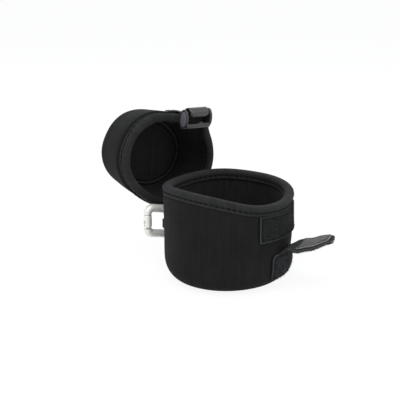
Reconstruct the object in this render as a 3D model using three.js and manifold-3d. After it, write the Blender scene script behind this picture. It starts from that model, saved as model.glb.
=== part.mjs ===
// Lens pouch: a padded cup with a soft hinged lid, closing strap, strap buckle and clip.
// Millimetres, +Z up, origin at the centre of the base on the ground.
// The strap side faces -Y and the lid hangs open behind the body, at +Y.
import * as THREE from "three";
import Module from "manifold-3d";
import { mergeVertices } from "three/examples/jsm/utils/BufferGeometryUtils.js";

const wasm = await Module();
wasm.setup();

// Body
const BODY_R = 42.5;
const BODY_H = 63.5;
const RIM_SLOPE = 0.065;
const RIM_WAVE = 3;
const BASE_ROUND = 16.5;
const SHELL_T = 3.2;
const LINING_T = 0.9;
const PAD_T = 4.0;
const LAYER_GAP = 0.3;

// Lid
const LID_A = 40.8;
const LID_B = 32.8;
const LID_POWER = 2.2;
const LID_DEPTH = 39.5;
const LID_ROUND = 10;
const LID_BULGE = 0.9;
const LID_TAPER = 4.3;
const LID_SLANT = 0.07;
const LID_SHELL_T = 2.6;
const LID_PAD_T = 2.7;
const LID_GAP = 1.0;
const LID_FORWARD = 2.0;

// Rim bindings
const BIND_T = 0.8;
const BIND_H = 6.5;
const BIND_PINCH = 0.9;

// Lid hinge: the tongue folds at the body, and the lid folds at the tongue. The open lid stands
// with the centre of its mouth at LID_MOUTH, tipped back, turned about the vertical and rolled.
const LID_MOUTH = [9.2, BODY_R + 6, BODY_H + 8.1];
const LID_OPEN = 89.3;
const LID_TWIST = 16;
const LID_ROLL = 25.5;
const TONGUE_OPEN = 156;
const TONGUE_SIDE = 14;
const TONGUE_W = 14;
const TONGUE_T = 1.6;
const LID_FOLD_DEPTH = 8;

// Closing strap and its landing patch
const STRAP_W = 20;
const STRAP_ROOT_W = 26;
const STRAP_TWIST = 8;
const STRAP_T = 1.6;
const STRAP_LENGTH = 30;
const STRAP_RISE = 22;
const STRAP_FOOT_Z = 8;
const STRAP_FOLD_Z = 25.5;
const HOOK_L = 19;
const HOOK_T = 1.1;
const PATCH_W = 46;
const PATCH_T = 1.2;
const PATCH_H = 17.5;

// Strap buckle
const BUCKLE_PITCH = 8.4;
const BUCKLE_BAR_R = 1.6;
const BUCKLE_PLATE = 2.4;
const BUCKLE_DEEP = 7.6;
const BUCKLE_END = 2.6;
const BUCKLE_SLOT = STRAP_W + 1;
const BUCKLE_DROP = 4.5;
const BUCKLE_HANG = 90;
const BUCKLE_TWIST = 18;
const TAB_SIDE = -2.5;
const TAB_W = 17;
const TAB_T = 1.1;
const TAB_ROOT = 9;

// Clip
const ROD_R = 2.8;
const CLIP_BEARING = 4;
const CLIP_TURN = 155;
const CLIP_W = 16;
const CLIP_SPINE_Z = [23, 41];
const CLIP_GATE_Z = [26.5, 44.5];
const CLIP_CORNER = 3.6;
const KEEPER_H = 6.5;
const KEEPER_W = 18;
const KEEPER_T = 1.2;
const GATE_GAP = 0.35;
const GATE_CHAMFER = 0.8;
const PIN_R = 0.8;
const PIN_CLEARANCE = 0.08;
const SPRING_R = 1.0;

const AROUND = 44;
const deg = THREE.MathUtils.degToRad;
const V3 = (x, y, z) => new THREE.Vector3(x, y, z);

const fabric = (colour) => new THREE.MeshStandardMaterial({ color: colour, roughness: 0.9 });
const SHELL = fabric(0x1d1e20);
const LINING = fabric(0x121214);
const FOAM = fabric(0x2b2b2e);
const TAPE = fabric(0x2a2b2e);
const FUZZ = fabric(0x26282a);
const HOOKS = fabric(0x6c6c6a);
const PLASTIC = new THREE.MeshStandardMaterial({ color: 0x101112, roughness: 0.25 });
const METAL = new THREE.MeshStandardMaterial({ color: 0xd2d4cf, roughness: 0.4, metalness: 0.9 });

// A closed solid from points and triangles, turned outwards.
function solid(points, faces) {
  let volume = 0;
  for (const [a, b, c] of faces) {
    volume += points[a].dot(points[b].clone().cross(points[c]));
  }
  const index = faces.flatMap(([a, b, c]) => (volume > 0 ? [a, b, c] : [a, c, b]));
  const geometry = new THREE.BufferGeometry().setFromPoints(points);
  geometry.setIndex(index);
  geometry.computeVertexNormals();
  return geometry;
}

// Rings of equal count joined in order; a ring solid closes on itself, others are capped.
function loft(rings, ring = false) {
  const n = rings[0].length;
  const points = rings.flat();
  const faces = [];
  const rows = ring ? rings.length : rings.length - 1;
  for (let i = 0; i < rows; i++) {
    const next = (i + 1) % rings.length;
    for (let j = 0; j < n; j++) {
      const k = (j + 1) % n;
      faces.push([i * n + j, i * n + k, next * n + k], [i * n + j, next * n + k, next * n + j]);
    }
  }
  if (!ring) {
    for (const [start, flip] of [[0, true], [(rings.length - 1) * n, false]]) {
      const centre = points.length;
      points.push(points.slice(start, start + n).reduce((s, p) => s.add(p), V3(0, 0, 0)).divideScalar(n));
      for (let j = 0; j < n; j++) {
        const k = (j + 1) % n;
        faces.push(flip ? [centre, start + k, start + j] : [centre, start + j, start + k]);
      }
    }
  }
  return solid(points, faces);
}

// A sheet of even thickness: at(u, v, side) gives its inner (0) and outer (1) face.
function slab(nu, nv, at) {
  const points = [];
  const faces = [];
  const id = (i, j, s) => (s * (nu + 1) + i) * (nv + 1) + j;
  for (const s of [0, 1]) {
    for (let i = 0; i <= nu; i++) {
      for (let j = 0; j <= nv; j++) points.push(at(i / nu, j / nv, s));
    }
  }
  const quad = (a, b, c, d) => faces.push([a, b, c], [a, c, d]);
  for (let i = 0; i < nu; i++) {
    for (let j = 0; j < nv; j++) {
      quad(id(i, j, 1), id(i + 1, j, 1), id(i + 1, j + 1, 1), id(i, j + 1, 1));
      quad(id(i, j, 0), id(i, j + 1, 0), id(i + 1, j + 1, 0), id(i + 1, j, 0));
    }
    quad(id(i, 0, 0), id(i + 1, 0, 0), id(i + 1, 0, 1), id(i, 0, 1));
    quad(id(i, nv, 1), id(i + 1, nv, 1), id(i + 1, nv, 0), id(i, nv, 0));
  }
  for (let j = 0; j < nv; j++) {
    quad(id(0, j, 1), id(0, j + 1, 1), id(0, j + 1, 0), id(0, j, 0));
    quad(id(nu, j, 0), id(nu, j + 1, 0), id(nu, j + 1, 1), id(nu, j, 1));
  }
  return solid(points, faces);
}

// A strip of even thickness through lines of points that lie side by side.
function strip(lines, thick) {
  const nu = lines.length - 1;
  const nv = lines[0].length - 1;
  const normal = (i, j) => {
    const along = lines[i][Math.min(j + 1, nv)].clone().sub(lines[i][Math.max(j - 1, 0)]);
    const aside = lines[Math.min(i + 1, nu)][j].clone().sub(lines[Math.max(i - 1, 0)][j]);
    return along.cross(aside).normalize();
  };
  return slab(nu, nv, (u, v, side) => {
    const i = Math.round(u * nu);
    const j = Math.round(v * nv);
    return lines[i][j].clone().addScaledVector(normal(i, j), (side - 0.5) * thick);
  });
}

// Places across a strip's width, from one edge to the other.
const acrossStrip = (width, n) => Array.from({ length: n + 1 }, (_, i) => (i / n - 0.5) * width);

// A round bar along a path in the local XZ plane.
function bar(path, radius, sides = 12) {
  const rings = path.map((p, i) => {
    const before = path[Math.max(i - 1, 0)];
    const after = path[Math.min(i + 1, path.length - 1)];
    const along = after.clone().sub(before).normalize();
    const across = V3(-along.z, 0, along.x);
    return Array.from({ length: sides }, (_, k) => {
      const t = (2 * Math.PI * k) / sides;
      return p.clone().addScaledVector(across, radius * Math.cos(t)).add(V3(0, radius * Math.sin(t), 0));
    });
  });
  return loft(rings);
}

function toManifold(geometry) {
  const plain = geometry.clone();
  plain.deleteAttribute("normal");
  plain.deleteAttribute("uv");
  const merged = mergeVertices(plain, 1e-4);
  return new wasm.Manifold(new wasm.Mesh({
    numProp: 3,
    vertProperties: Float32Array.from(merged.attributes.position.array),
    triVerts: Uint32Array.from(merged.index.array),
  }));
}

function fromManifold(body) {
  const mesh = body.getMesh();
  const geometry = new THREE.BufferGeometry();
  geometry.setAttribute("position", new THREE.BufferAttribute(Float32Array.from(mesh.vertProperties), 3));
  geometry.setIndex(Array.from(mesh.triVerts));
  geometry.computeVertexNormals();
  return geometry;
}

const join = (...pieces) => fromManifold(wasm.Manifold.union(pieces.map(toManifold)));
const cut = (piece, ...tools) => fromManifold(tools.reduce((m, t) => m.subtract(toManifold(t)), toManifold(piece)));
const cylinder = (r, length, sides = 20) => new THREE.CylinderGeometry(r, r, length, sides);

function mesh(name, geometry, material, parent) {
  const node = new THREE.Mesh(geometry, material);
  node.name = name;
  parent.add(node);
  return node;
}

function group(parent, position = V3(0, 0, 0)) {
  const node = new THREE.Group();
  node.position.copy(position);
  parent.add(node);
  return node;
}

// Cup profile at an offset o inside the outer face: a rounded bottom from angle t1 to t0, measured
// from the wall (0) to the flat bottom (90). Rows are [inset, height above the outer bottom].
const rounded = (o, round, t0, t1, n) => Array.from({ length: n + 1 }, (_, i) => {
  const t = deg(t0 + ((t1 - t0) * i) / n);
  return [round - (round - o) * Math.cos(t), round - (round - o) * Math.sin(t)];
});

// Plan outline at an inset, as a superellipse.
const outline = (a, b, power, inset, t) => {
  const c = Math.cos(t);
  const s = Math.sin(t);
  return [
    Math.sign(c) * Math.abs(c) ** (2 / power) * (a - inset),
    Math.sign(s) * Math.abs(s) ** (2 / power) * (b - inset),
  ];
};
const turn = (j) => (2 * Math.PI * (j + 0.5)) / AROUND;

// The rims of body and lid dip at the strap and at the hinge, and rise at the sides.
const rimWave = (x, y) => (RIM_WAVE * (x * x - y * y)) / (x * x + y * y);
const rimZ = (x, y) => BODY_H + RIM_SLOPE * y + rimWave(x, y);
// Heights above the rounded bottom stretch to the slanted rim; "below" counts down from the rim.
const bodyRing = ([inset, z, below]) => Array.from({ length: AROUND }, (_, j) => {
  const [x, y] = outline(BODY_R, BODY_R, 2, inset, turn(j));
  return V3(x, y, below === undefined ? z : rimZ(x, y) - below);
});
const lidRing = ([inset, depth]) => Array.from({ length: AROUND }, (_, j) => {
  const [x, y] = outline(LID_A, LID_B, LID_POWER, inset, turn(j));
  return V3(x, y, depth * (1 + (LID_SLANT * y) / LID_B) + rimWave(x, y) * (1 - depth / LID_DEPTH));
});

const root = new THREE.Group();
root.name = "lens_pouch";

// Body: shell, lining, floor layers and rim binding
const shellTop = BIND_T + 1.0;
mesh("body_shell", loft([
  ...rounded(0, BASE_ROUND, 90, 0, 6),
  [0, 0, BIND_H + 9],
  [0, 0, BIND_H + 1.2],
  [BIND_PINCH, 0, BIND_H + 0.2],
  [BIND_PINCH, 0, shellTop],
  [SHELL_T, 0, shellTop],
  [SHELL_T, 0, BIND_H + 9],
  ...rounded(SHELL_T, BASE_ROUND, 0, 90, 6),
].map(bodyRing)), SHELL, root);

const liningOut = SHELL_T + LAYER_GAP;
const liningIn = liningOut + LINING_T;
mesh("body_lining", loft([
  [liningOut, 0, shellTop],
  [liningOut, 0, BIND_H + 9],
  ...rounded(liningOut, BASE_ROUND, 0, 45, 3),
  ...rounded(liningIn, BASE_ROUND, 45, 0, 3),
  [liningIn, 0, BIND_H + 9],
  [liningIn, 0, shellTop],
].map(bodyRing), true), LINING, root);

const floorOut = liningOut + PAD_T + LAYER_GAP;
const floorIn = floorOut + LINING_T;
mesh("base_pad", loft([
  ...rounded(liningOut, BASE_ROUND, 90, 56, 2),
  ...rounded(liningOut + PAD_T, BASE_ROUND, 56, 90, 2),
].map(bodyRing)), FOAM, root);
mesh("base_lining", loft([
  ...rounded(floorOut, BASE_ROUND, 90, 44, 2),
  ...rounded(floorIn, BASE_ROUND, 44, 90, 2),
].map(bodyRing)), LINING, root);
mesh("base_seam_tape", loft([
  ...rounded(liningIn + LAYER_GAP, BASE_ROUND, 36, 52, 1),
  ...rounded(floorOut - LAYER_GAP, BASE_ROUND, 52, 36, 1),
].map(bodyRing), true), TAPE, root);

// Folded tape over a rim: rows of [inset, distance from the rim's top]
const bindingRows = (pinch, inner) => {
  const out = pinch - LAYER_GAP - BIND_T;
  const inn = inner + LAYER_GAP + BIND_T;
  return [
    [out, BIND_H],
    [out, 1.3],
    [out + 1.1, 0],
    [inn - 1.1, 0],
    [inn, 1.3],
    [inn, BIND_H],
    [inn - BIND_T, BIND_H],
    [inn - BIND_T, BIND_T + 0.7],
    [out + BIND_T, BIND_T + 0.7],
    [out + BIND_T, BIND_H],
  ];
};
mesh("body_binding", loft(bindingRows(BIND_PINCH, liningIn).map(([o, d]) => bodyRing([o, 0, d])), true), TAPE, root);

// Patches that lie on the body's wall, centred at a bearing from +Y towards -X
function wallPoint(bearing, across, z, out) {
  const t = bearing + across / BODY_R;
  const drop = Math.max(BASE_ROUND - z, 0);
  const lean = Math.asin(Math.min(drop / BASE_ROUND, 1));
  const r = BODY_R - BASE_ROUND + (BASE_ROUND + out) * Math.cos(lean);
  const h = z - out * Math.sin(lean);
  return V3(-r * Math.sin(t), r * Math.cos(t), h);
}
const wallPatch = (bearing, width, [z0, z1], thick, nu = 10, nv = 3) => slab(nu, nv, (u, v, side) =>
  wallPoint(bearing, (u - 0.5) * width, z0 + (z1 - z0) * v, LAYER_GAP + side * thick));

const FRONT = Math.PI;
const patchTop = rimZ(0, -BODY_R) - BIND_H - LAYER_GAP;
mesh("loop_patch", wallPatch(FRONT, PATCH_W, [patchTop - PATCH_H, patchTop], PATCH_T, 12, 2), FUZZ, root);
mesh("strap_root", slab(8, 4, (u, v, side) => {
  const top = STRAP_FOLD_Z - STRAP_T / 2 - LAYER_GAP;
  const thick = v < 1 ? STRAP_T : STRAP_T * 0.55;
  const z = STRAP_FOOT_Z + (top - STRAP_FOOT_Z) * v;
  return wallPoint(FRONT, (u - 0.5) * STRAP_ROOT_W, z, LAYER_GAP + side * thick);
}), TAPE, root);

// Closing strap: a flat strip from a rounded fold, rising outwards, with hooks on its upper face
const strapFold = group(root, V3(0, -(BODY_R + LAYER_GAP + STRAP_T / 2), STRAP_FOLD_Z));
strapFold.rotation.x = -deg(STRAP_RISE);
const strapHalf = (y) => (STRAP_W / 2) * (1 - 0.64 * Math.max(y / STRAP_LENGTH - 0.75, 0));
const strapRows = [-0.8, -0.55, 0, 4, 8, 12, 16, 20, STRAP_LENGTH * 0.75, STRAP_LENGTH - 3, STRAP_LENGTH];
const strapThick = (y) => (y < 0 ? STRAP_T * Math.sqrt(Math.max(1 - (y / 0.81) ** 2, 0)) : STRAP_T);
const strapPoint = (x, y, z) => V3(x, -y, z + x * Math.tan(deg(STRAP_TWIST)) * Math.min(Math.max(y / 12, 0), 1));
mesh("strap_flap", slab(4, strapRows.length - 1, (u, v, side) => {
  const y = strapRows[Math.round(v * (strapRows.length - 1))];
  return strapPoint((u * 2 - 1) * strapHalf(y), y, (side - 0.5) * strapThick(y));
}), TAPE, strapFold);
const hookRows = [STRAP_LENGTH - 2.5 - HOOK_L, 12, 16, 20, STRAP_LENGTH * 0.75, STRAP_LENGTH - 2.5];
mesh("hook_panel", slab(4, hookRows.length - 1, (u, v, side) => {
  const y = hookRows[Math.round(v * (hookRows.length - 1))];
  return strapPoint((u * 2 - 1) * (strapHalf(y) - 2), y, STRAP_T / 2 + LAYER_GAP + side * HOOK_T);
}), HOOKS, strapFold);

// Lid hinge: the tongue folds on the body and the lid on the tongue. The first fold carries the lid's
// sewn edge from lidFold, closed, to lidOpen; the second gives the lid the rest of its turn.
const turnAbout = (axis, degrees) => new THREE.Quaternion().setFromAxisAngle(axis, deg(degrees));
const slope = Math.atan(RIM_SLOPE);
const lidOrigin = V3(0, -LID_FORWARD, BODY_H + LID_GAP);
const lidFoldLocal = V3(TONGUE_SIDE, LID_B + LID_BULGE + TONGUE_T / 2 + LAYER_GAP, LID_FOLD_DEPTH * (1 + LID_SLANT));
// The lid's wall leans in from its binding to the crown: where it stands at x and at a height above the
// rim, at the hinge (side 1) or at the buckle (side -1).
const lidWallTop = LID_DEPTH - LID_ROUND;
const lidWallY = (x, z, side) => {
  const depth = (z + RIM_WAVE) / (1 + side * LID_SLANT + RIM_WAVE / LID_DEPTH);
  const lean = Math.max((depth - BIND_H - 1.4) / (lidWallTop - BIND_H - 1.4), 0);
  const inset = LID_TAPER * lean - LID_BULGE;
  return side * (LID_B - inset) * (1 - Math.abs(x / (LID_A - inset)) ** LID_POWER) ** (1 / LID_POWER);
};
const lidFold = lidFoldLocal.clone().applyAxisAngle(V3(1, 0, 0), slope).add(lidOrigin);
const opened = turnAbout(V3(0, 0, 1), -LID_TWIST)
  .multiply(turnAbout(V3(-1, 0, 0), LID_OPEN))
  .multiply(turnAbout(V3(0, 0, 1), LID_ROLL));
const lidOpen = V3(...LID_MOUTH).sub(lidOrigin.clone().sub(lidFold).applyQuaternion(opened));
const swing = lidOpen.clone().sub(lidFold);
const tongueAxis = V3(-1, 0, 0).projectOnPlane(swing.clone().normalize()).normalize();
const foldPoint = lidFold.clone().lerp(lidOpen, 0.5)
  .addScaledVector(tongueAxis.clone().cross(swing), 0.5 / Math.tan(deg(TONGUE_OPEN / 2)));
const tongueTurn = turnAbout(tongueAxis, TONGUE_OPEN);

const tonguePivot = group(root, foldPoint);
tonguePivot.quaternion.copy(tongueTurn);
const lidPivot = group(tonguePivot, lidFold.clone().sub(foldPoint));
lidPivot.quaternion.copy(tongueTurn.clone().invert().multiply(opened));
const lid = group(lidPivot, lidOrigin.clone().sub(lidFold));
lid.rotation.x = slope;

// The tongue is sewn to the body's back, folds over and is sewn under the lid's wall
root.updateMatrixWorld(true);
const anchorTop = foldPoint.z - 1;
const sewnBody = (x, up, out) => wallPoint(
  0,
  -TONGUE_SIDE - x,
  anchorTop + LAYER_GAP + up,
  LAYER_GAP + TONGUE_T / 2 + out,
);
const sewnLid = (x, z) => V3(
  TONGUE_SIDE + x,
  lidWallY(TONGUE_SIDE + x, z, 1) + TONGUE_T / 2 + LAYER_GAP * 2,
  z,
).applyMatrix4(lid.matrixWorld);
const tongueLine = (x) => {
  const start = sewnBody(x, 0, 0);
  const under = sewnLid(x, -RIM_WAVE - 1.6);
  return new THREE.CatmullRomCurve3([
    start,
    sewnBody(x, 1.4, 0.2),
    sewnBody(x, 2.2, 1.8),
    sewnBody(x, -1.5, 3.2),
    start.clone().lerp(under, 0.6).add(V3(0, 0.6, 0)),
    under.clone().add(V3(0, 0, -1.2)),
    sewnLid(x, 1),
    sewnLid(x, LID_FOLD_DEPTH),
    sewnLid(x, LID_FOLD_DEPTH + 6),
  ], false, "centripetal").getPoints(16);
};
mesh("hinge_tongue", strip(acrossStrip(TONGUE_W, 4).map(tongueLine), TONGUE_T), TAPE, root);
mesh("hinge_anchor", wallPatch(-TONGUE_SIDE / BODY_R, TONGUE_W, [anchorTop - 8, anchorTop], TONGUE_T, 8, 2), TAPE, root);

// Lid: shell, lining, crown layers and rim binding, measured from its own rim
const lidRound = (o, t0, t1, n) => rounded(o, LID_ROUND, t0, t1, n).map(([inset, h]) => [inset + LID_TAPER - LID_BULGE, LID_DEPTH - h]);
mesh("lid_shell", loft([
  ...lidRound(0, 90, 0, 6),
  [-LID_BULGE, BIND_H + 1.4],
  [BIND_PINCH, BIND_H + 0.3],
  [BIND_PINCH, shellTop],
  [LID_SHELL_T, shellTop],
  [LID_SHELL_T - LID_BULGE, BIND_H + 1.4],
  ...lidRound(LID_SHELL_T, 0, 90, 6),
].map(lidRing)), SHELL, lid);

const lidLiningOut = LID_SHELL_T + LAYER_GAP;
const lidLiningIn = lidLiningOut + LINING_T;
mesh("lid_lining", loft([
  [lidLiningOut, shellTop],
  [lidLiningOut - LID_BULGE, BIND_H + 1.4],
  ...lidRound(lidLiningOut, 0, 45, 3),
  ...lidRound(lidLiningIn, 45, 0, 3),
  [lidLiningIn - LID_BULGE, BIND_H + 1.4],
  [lidLiningIn, shellTop],
].map(lidRing), true), LINING, lid);

const crownOut = lidLiningOut + LID_PAD_T + LAYER_GAP;
const crownIn = crownOut + LINING_T;
mesh("crown_pad", loft([
  ...lidRound(lidLiningOut, 90, 56, 2),
  ...lidRound(lidLiningOut + LID_PAD_T, 56, 90, 2),
].map(lidRing)), FOAM, lid);
mesh("crown_lining", loft([
  ...lidRound(crownOut, 90, 44, 2),
  ...lidRound(crownIn, 44, 90, 2),
].map(lidRing)), LINING, lid);
mesh("lid_seam_tape", loft([
  ...lidRound(lidLiningIn + LAYER_GAP, 36, 52, 1),
  ...lidRound(crownOut - LAYER_GAP, 52, 36, 1),
].map(lidRing), true), TAPE, lid);
mesh("lid_binding", loft(bindingRows(BIND_PINCH, lidLiningIn).map(lidRing), true), TAPE, lid);

// Buckle: two oval end plates joined by two bars; it hangs from its upper bar, twisted on its tab
const frontWall = -(LID_B + LID_BULGE + LAYER_GAP + TAB_T / 2);
const bucklePivot = V3(TAB_SIDE, frontWall - BUCKLE_BAR_R, -RIM_WAVE - BUCKLE_DROP);
const buckleTwist = group(lid, bucklePivot);
buckleTwist.rotation.z = -deg(BUCKLE_TWIST);
const buckleSwing = group(buckleTwist);
buckleSwing.rotation.x = deg(BUCKLE_HANG);
const plate = cylinder(1, BUCKLE_PLATE, 24).scale(BUCKLE_DEEP / 2, 1, BUCKLE_PITCH / 2 + BUCKLE_END)
  .rotateZ(Math.PI / 2).translate(0, 0, -BUCKLE_PITCH / 2);
const plateX = BUCKLE_SLOT / 2 + BUCKLE_PLATE / 2;
const barAlongX = (r, length) => cylinder(r, length, 20).rotateZ(Math.PI / 2);
const buckleBar = barAlongX(BUCKLE_BAR_R, BUCKLE_SLOT + BUCKLE_PLATE);
mesh("buckle_loop", join(
  plate.clone().translate(plateX, 0, 0),
  plate.clone().translate(-plateX, 0, 0),
  buckleBar,
  buckleBar.clone().translate(0, 0, -BUCKLE_PITCH),
), PLASTIC, buckleSwing);

// Buckle tab: webbing sewn to the front of the lid, folded round the buckle's upper bar
mesh("tab_root", slab(2, 1, (u, v, side) => {
  const z = TAB_ROOT + LAYER_GAP + 6 * v;
  const x = TAB_SIDE + (u - 0.5) * TAB_W;
  return V3(x, lidWallY(x, z, -1) - LAYER_GAP - side * TAB_T, z);
}), TAPE, lid);
buckleTwist.updateMatrix();
const eyeBore = BUCKLE_BAR_R + LAYER_GAP;
const tabLine = (x) => {
  const end = V3(x, 0, eyeBore + TAB_T / 2).applyMatrix4(buckleTwist.matrix);
  const atWall = (z) => V3(TAB_SIDE + x, lidWallY(TAB_SIDE + x, z, -1) - LAYER_GAP - TAB_T / 2, z);
  const over = atWall(2.2 - RIM_WAVE);
  return [atWall(TAB_ROOT), atWall(TAB_ROOT / 2), over, over.clone().lerp(end, 0.55), end];
};
const tabEye = (r, length) => barAlongX(r, length).applyMatrix4(buckleTwist.matrix);
mesh("buckle_tab", cut(
  join(strip(acrossStrip(TAB_W, 4).map(tabLine), TAB_T), tabEye(eyeBore + TAB_T, TAB_W)),
  tabEye(eyeBore, TAB_W + 4),
), TAPE, lid);

// Clip keeper: a webbing band on the back that arches over the clip's spine
const clipBearing = deg(CLIP_BEARING);
const spineOut = LAYER_GAP + ROD_R + 0.6;
const [spineLow, spineHigh] = CLIP_SPINE_Z;
const [outerLow, outerHigh] = CLIP_GATE_Z;
const keeperZ = spineLow + CLIP_CORNER + 1.2;
const keeperHump = (across) => Math.max(Math.cos((Math.PI / 2) * Math.min(Math.abs(across) / 8, 1)), 0) ** 2;
mesh("clip_keeper", slab(16, 1, (u, v, side) => {
  const across = (u - 0.5) * KEEPER_W;
  const lift = keeperHump(across) * (spineOut + ROD_R + 1.2);
  return wallPoint(clipBearing, across, keeperZ + KEEPER_H * v, LAYER_GAP + lift + side * KEEPER_T);
}), TAPE, root);

// Clip: bent rod frame with a sprung gate on its outer side
const spine = wallPoint(clipBearing, 0, BASE_ROUND, spineOut);
const clip = group(root, V3(spine.x, spine.y, 0));
clip.rotation.z = deg(CLIP_TURN);
// Length that a bend takes from the outer side, for an end bar that rises towards it
const bendReach = (rise) => CLIP_CORNER / Math.tan(Math.PI / 4 - Math.atan2(rise, CLIP_W) / 2);
const gateLow = outerLow + bendReach(spineLow - outerLow) + 0.5;
const gateHigh = outerHigh - bendReach(outerHigh - spineHigh) - 0.5;
const pinZ = gateLow + ROD_R;
// A line of points with its inner corners rounded
function filleted(points, radius, n) {
  return points.flatMap((at, i) => {
    if (i === 0 || i === points.length - 1) return [at];
    const before = points[i - 1].clone().sub(at).normalize();
    const after = points[i + 1].clone().sub(at).normalize();
    const half = before.angleTo(after) / 2;
    const centre = at.clone().addScaledVector(before.clone().add(after).normalize(), radius / Math.sin(half));
    const from = at.clone().addScaledVector(before, radius / Math.tan(half)).sub(centre);
    const to = at.clone().addScaledVector(after, radius / Math.tan(half)).sub(centre);
    const sweep = Math.PI - 2 * half;
    return Array.from({ length: n + 1 }, (_, k) => centre.clone()
      .addScaledVector(from, Math.sin(sweep * (1 - k / n)) / Math.sin(sweep))
      .addScaledVector(to, Math.sin((sweep * k) / n) / Math.sin(sweep)));
  });
}
const framePath = filleted([
  V3(CLIP_W, 0, gateHigh + GATE_GAP),
  V3(CLIP_W, 0, outerHigh),
  V3(0, 0, spineHigh),
  V3(0, 0, spineLow),
  V3(CLIP_W, 0, outerLow),
  V3(CLIP_W, 0, gateLow - GATE_GAP),
], CLIP_CORNER, 7);
const acrossRod = (r, length, z) => cylinder(r, length, 20).translate(CLIP_W, 0, z);
const tangBase = new THREE.BoxGeometry(2 * ROD_R * 0.78, 1.6, ROD_R + 1).translate(CLIP_W, 0, pinZ - (ROD_R + 1) / 2);
mesh("clip_frame", cut(
  join(bar(framePath, ROD_R, 14), tangBase, acrossRod(ROD_R * 0.78, 1.6, pinZ)),
  acrossRod(PIN_R + PIN_CLEARANCE, 8, pinZ),
), METAL, clip);

// Gate: a rod with a round foot, slotted over the frame's tang and bored for its spring
const rodRing = (r, z) => Array.from({ length: 18 }, (_, k) => {
  const t = (2 * Math.PI * k) / 18;
  return V3(CLIP_W + r * Math.cos(t), r * Math.sin(t), z);
});
const gateFoot = [80, 60, 40, 20].map((t) => rodRing(ROD_R * Math.cos(deg(t)), pinZ - ROD_R * Math.sin(deg(t))));
const slotTop = pinZ + ROD_R;
const springTop = gateHigh - 1.4;
mesh("clip_gate", cut(
  loft([
    ...gateFoot,
    rodRing(ROD_R, pinZ),
    rodRing(ROD_R, gateHigh - GATE_CHAMFER),
    rodRing(ROD_R - GATE_CHAMFER, gateHigh),
  ]),
  new THREE.BoxGeometry(6, 2.2, 2 * ROD_R + 1).translate(CLIP_W, 0, slotTop - ROD_R - 0.5),
  bar([V3(CLIP_W, 0, slotTop - 1), V3(CLIP_W, 0, springTop)], SPRING_R + LAYER_GAP, 12),
  acrossRod(PIN_R + 0.02, 8, pinZ),
), METAL, clip);
mesh("gate_rivet", acrossRod(PIN_R, 2 * ROD_R, pinZ), METAL, clip);
mesh("gate_spring", bar([
  V3(CLIP_W, 0, slotTop + LAYER_GAP),
  V3(CLIP_W, 0, springTop - LAYER_GAP),
], SPRING_R, 10), METAL, clip);

export default root;
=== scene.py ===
"""Lens pouch: padded cup, soft hinged lid, closing strap, strap buckle and clip.

Lengths in the constants are millimetres; meshes are made in metres in the frame's own axes.
"""

import random
from math import asin, atan, atan2, copysign, cos, degrees, exp, hypot, pi, radians, sin, tan

import bmesh
import bpy
from mathutils import Matrix, Vector, noise


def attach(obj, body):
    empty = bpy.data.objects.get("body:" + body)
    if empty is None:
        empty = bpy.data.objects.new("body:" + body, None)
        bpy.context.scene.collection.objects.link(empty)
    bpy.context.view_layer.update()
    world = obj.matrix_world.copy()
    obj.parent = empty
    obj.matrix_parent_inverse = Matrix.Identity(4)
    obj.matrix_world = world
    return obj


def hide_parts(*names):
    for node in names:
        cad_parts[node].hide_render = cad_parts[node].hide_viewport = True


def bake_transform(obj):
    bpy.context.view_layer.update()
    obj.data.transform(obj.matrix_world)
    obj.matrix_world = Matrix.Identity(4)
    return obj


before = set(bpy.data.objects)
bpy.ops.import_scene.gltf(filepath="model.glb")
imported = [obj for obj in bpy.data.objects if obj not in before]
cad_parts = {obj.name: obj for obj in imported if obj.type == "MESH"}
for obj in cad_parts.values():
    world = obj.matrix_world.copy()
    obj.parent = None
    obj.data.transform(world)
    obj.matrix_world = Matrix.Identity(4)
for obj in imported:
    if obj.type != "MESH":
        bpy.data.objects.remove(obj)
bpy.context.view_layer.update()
MM = 0.001

# Body; swellings are (size, middle, half width), with angles in degrees round the piece
BODY_R = 42.5
BODY_H = 63.5
RIM_SLOPE = 0.065
RIM_WAVE = 3.0
BASE_ROUND = 16.5
SHELL_T = 3.2
LINING_T = 0.9
PAD_T = 4.0
GAP = 0.3
LINING_OUT = SHELL_T + GAP
LINING_IN = LINING_OUT + LINING_T
FLOOR_OUT = LINING_OUT + PAD_T + GAP
FLOOR_IN = FLOOR_OUT + LINING_T
RIM_SETTLE = ((0.5, 108, 34), (-0.9, 36, 20), (-3.0, -96, 34))
BASE_FULL = ((0.5, 105, 75), (0.25, -10, 40))
SHOULDER = (1.7, -40, 24)
SHOULDER_Z = 52.0
BELLY = (1.0, -36, 20)
BELLY_Z = 31.0

# Lid
LID_A = 40.8
LID_B = 32.8
LID_POWER = 2.2
LID_DEPTH = 39.5
LID_ROUND = 10.0
LID_BULGE = 0.9
LID_TAPER = 4.3
LID_SLANT = 0.07
LID_SHELL_T = 2.6
LID_PAD_T = 2.7
LID_LINING_OUT = LID_SHELL_T + GAP
LID_LINING_IN = LID_LINING_OUT + LINING_T
CROWN_OUT = LID_LINING_OUT + LID_PAD_T + GAP
CROWN_IN = CROWN_OUT + LINING_T
LID_MOUTH_SWELL = ((5.2, -72, 12), (-1.3, -120, 13), (-0.8, -34, 18), (-0.7, 116, 22))
LID_SIDE_SWELL = ((0.8, -165, 30), (-0.3, 112, 24))
CROWN_PUFF = 1.6

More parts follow.
